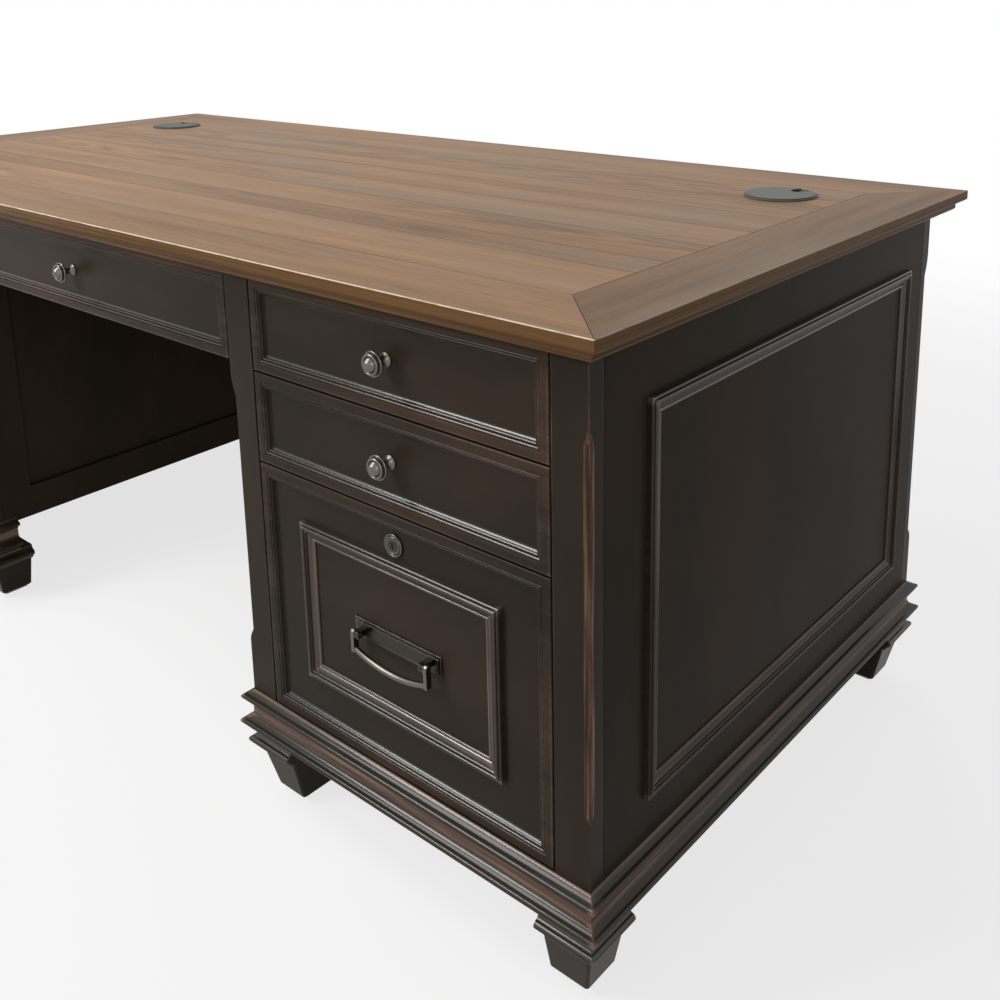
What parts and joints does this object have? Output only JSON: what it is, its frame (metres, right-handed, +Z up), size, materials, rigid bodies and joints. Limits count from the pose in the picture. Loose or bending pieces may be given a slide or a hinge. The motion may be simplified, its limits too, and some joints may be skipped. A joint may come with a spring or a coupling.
{
  "type": "double pedestal desk",
  "caption": "Executive desk: mitred plank top on paired pedestals of shallow drawers over lockable file drawers, a centre drawer over the kneehole, cable grommets.",
  "frame": {"origin": "on the floor under the middle of the desk top", "axes": "+X to the sitter's right along the top, +Y from the drawer side to the back, +Z up"},
  "size_m": [1.93, 0.914, 0.7657],
  "materials": {
    "top_wood": "satin warm brown wood with plank seams",
    "case_wood": "satin black-brown with rubbed edges",
    "drawer_wood": "clear-finished drawer wood",
    "pewter": "aged pewter",
    "slide_steel": "zinc-plated steel",
    "grommet_plastic": "matte dark grey",
    "glide_plastic": "matte black"
  },
  "bodies": {
    "carcass": {"top_field": "top_wood", "top_front_rail": "top_wood", "top_right_rail": "top_wood", "top_back_rail": "top_wood", "top_left_rail": "top_wood", "runner_cleats": "drawer_wood", "slide_cabinet_members": "slide_steel", "corner_posts": "case_wood", "side_panels": "case_wood", "side_mouldings": "case_wood", "kneehole_panels": "case_wood", "back_panels": "case_wood", "back_mouldings": "case_wood", "modesty_panel": "case_wood", "pedestal_bottoms": "case_wood", "case_rails": "case_wood", "base_mouldings": "case_wood", "feet": "case_wood", "floor_glides": "glide_plastic", "grommet_liners": "grommet_plastic"},
    "right_upper_drawer": {"right_upper_drawer_box": "drawer_wood", "right_upper_slide_members": "slide_steel", "right_upper_drawer_front": "case_wood", "right_upper_knob": "pewter"},
    "right_middle_drawer": {"right_middle_drawer_box": "drawer_wood", "right_middle_slide_members": "slide_steel", "right_middle_drawer_front": "case_wood", "right_middle_knob": "pewter"},
    "right_file_drawer": {"right_file_drawer_box": "drawer_wood", "right_file_slide_members": "slide_steel", "right_file_drawer_front": "case_wood", "right_file_frame_moulding": "case_wood", "right_file_hanging_rails": "slide_steel", "right_file_pull_plate": "pewter", "right_file_lock_housing": "pewter"},
    "left_upper_drawer": {"left_upper_drawer_box": "drawer_wood", "left_upper_slide_members": "slide_steel", "left_upper_drawer_front": "case_wood", "left_upper_knob": "pewter"},
    "left_middle_drawer": {"left_middle_drawer_box": "drawer_wood", "left_middle_slide_members": "slide_steel", "left_middle_drawer_front": "case_wood", "left_middle_knob": "pewter"},
    "left_file_drawer": {"left_file_drawer_box": "drawer_wood", "left_file_slide_members": "slide_steel", "left_file_drawer_front": "case_wood", "left_file_frame_moulding": "case_wood", "left_file_hanging_rails": "slide_steel", "left_file_pull_plate": "pewter", "left_file_lock_housing": "pewter"},
    "centre_drawer": {"centre_drawer_front": "case_wood", "centre_drawer_box": "drawer_wood", "centre_slide_members": "slide_steel", "centre_knob": "pewter"},
    "right_bail": {"right_file_pull_bail": "pewter"},
    "right_lock_plug": {"right_file_lock_plug": "pewter"},
    "right_grommet_cap": {"right_grommet_cap": "grommet_plastic"},
    "left_bail": {"left_file_pull_bail": "pewter"},
    "left_lock_plug": {"left_file_lock_plug": "pewter"},
    "left_grommet_cap": {"left_grommet_cap": "grommet_plastic"}
  },
  "joints": [
    {"name": "right_upper_drawer_slide", "type": "slide", "parent": "carcass", "child": "right_upper_drawer", "axis": [0, -1, 0], "range_m": [0, 0.4]},
    {"name": "right_middle_drawer_slide", "type": "slide", "parent": "carcass", "child": "right_middle_drawer", "axis": [0, -1, 0], "range_m": [0, 0.4]},
    {"name": "right_file_drawer_slide", "type": "slide", "parent": "carcass", "child": "right_file_drawer", "axis": [0, -1, 0], "range_m": [0, 0.4]},
    {"name": "left_upper_drawer_slide", "type": "slide", "parent": "carcass", "child": "left_upper_drawer", "axis": [0, -1, 0], "range_m": [0, 0.4]},
    {"name": "left_middle_drawer_slide", "type": "slide", "parent": "carcass", "child": "left_middle_drawer", "axis": [0, -1, 0], "range_m": [0, 0.4]},
    {"name": "left_file_drawer_slide", "type": "slide", "parent": "carcass", "child": "left_file_drawer", "axis": [0, -1, 0], "range_m": [0, 0.4]},
    {"name": "centre_drawer_slide", "type": "slide", "parent": "carcass", "child": "centre_drawer", "axis": [0, -1, 0], "range_m": [0, 0.4]},
    {"name": "right_bail_swing", "type": "hinge", "parent": "right_file_drawer", "child": "right_bail", "pos_m": [0.658, -0.437, 0.32737], "axis": [-1, 0, 0], "range_deg": [0, 90]},
    {"name": "right_lock_turn", "type": "hinge", "parent": "right_file_drawer", "child": "right_lock_plug", "pos_m": [0.658, -0.423, 0.45225], "axis": [0, -1, 0], "range_deg": [0, 90]},
    {"name": "right_grommet_turn", "type": "hinge", "parent": "carcass", "child": "right_grommet_cap", "pos_m": [0.764, 0.265, 0.762], "axis": [0, 0, 1], "continuous": true},
    {"name": "left_bail_swing", "type": "hinge", "parent": "left_file_drawer", "child": "left_bail", "pos_m": [-0.658, -0.437, 0.32737], "axis": [-1, 0, 0], "range_deg": [0, 90]},
    {"name": "left_lock_turn", "type": "hinge", "parent": "left_file_drawer", "child": "left_lock_plug", "pos_m": [-0.658, -0.423, 0.45225], "axis": [0, -1, 0], "range_deg": [0, 90]},
    {"name": "left_grommet_turn", "type": "hinge", "parent": "carcass", "child": "left_grommet_cap", "pos_m": [-0.764, 0.265, 0.762], "axis": [0, 0, 1], "continuous": true}
  ]
}
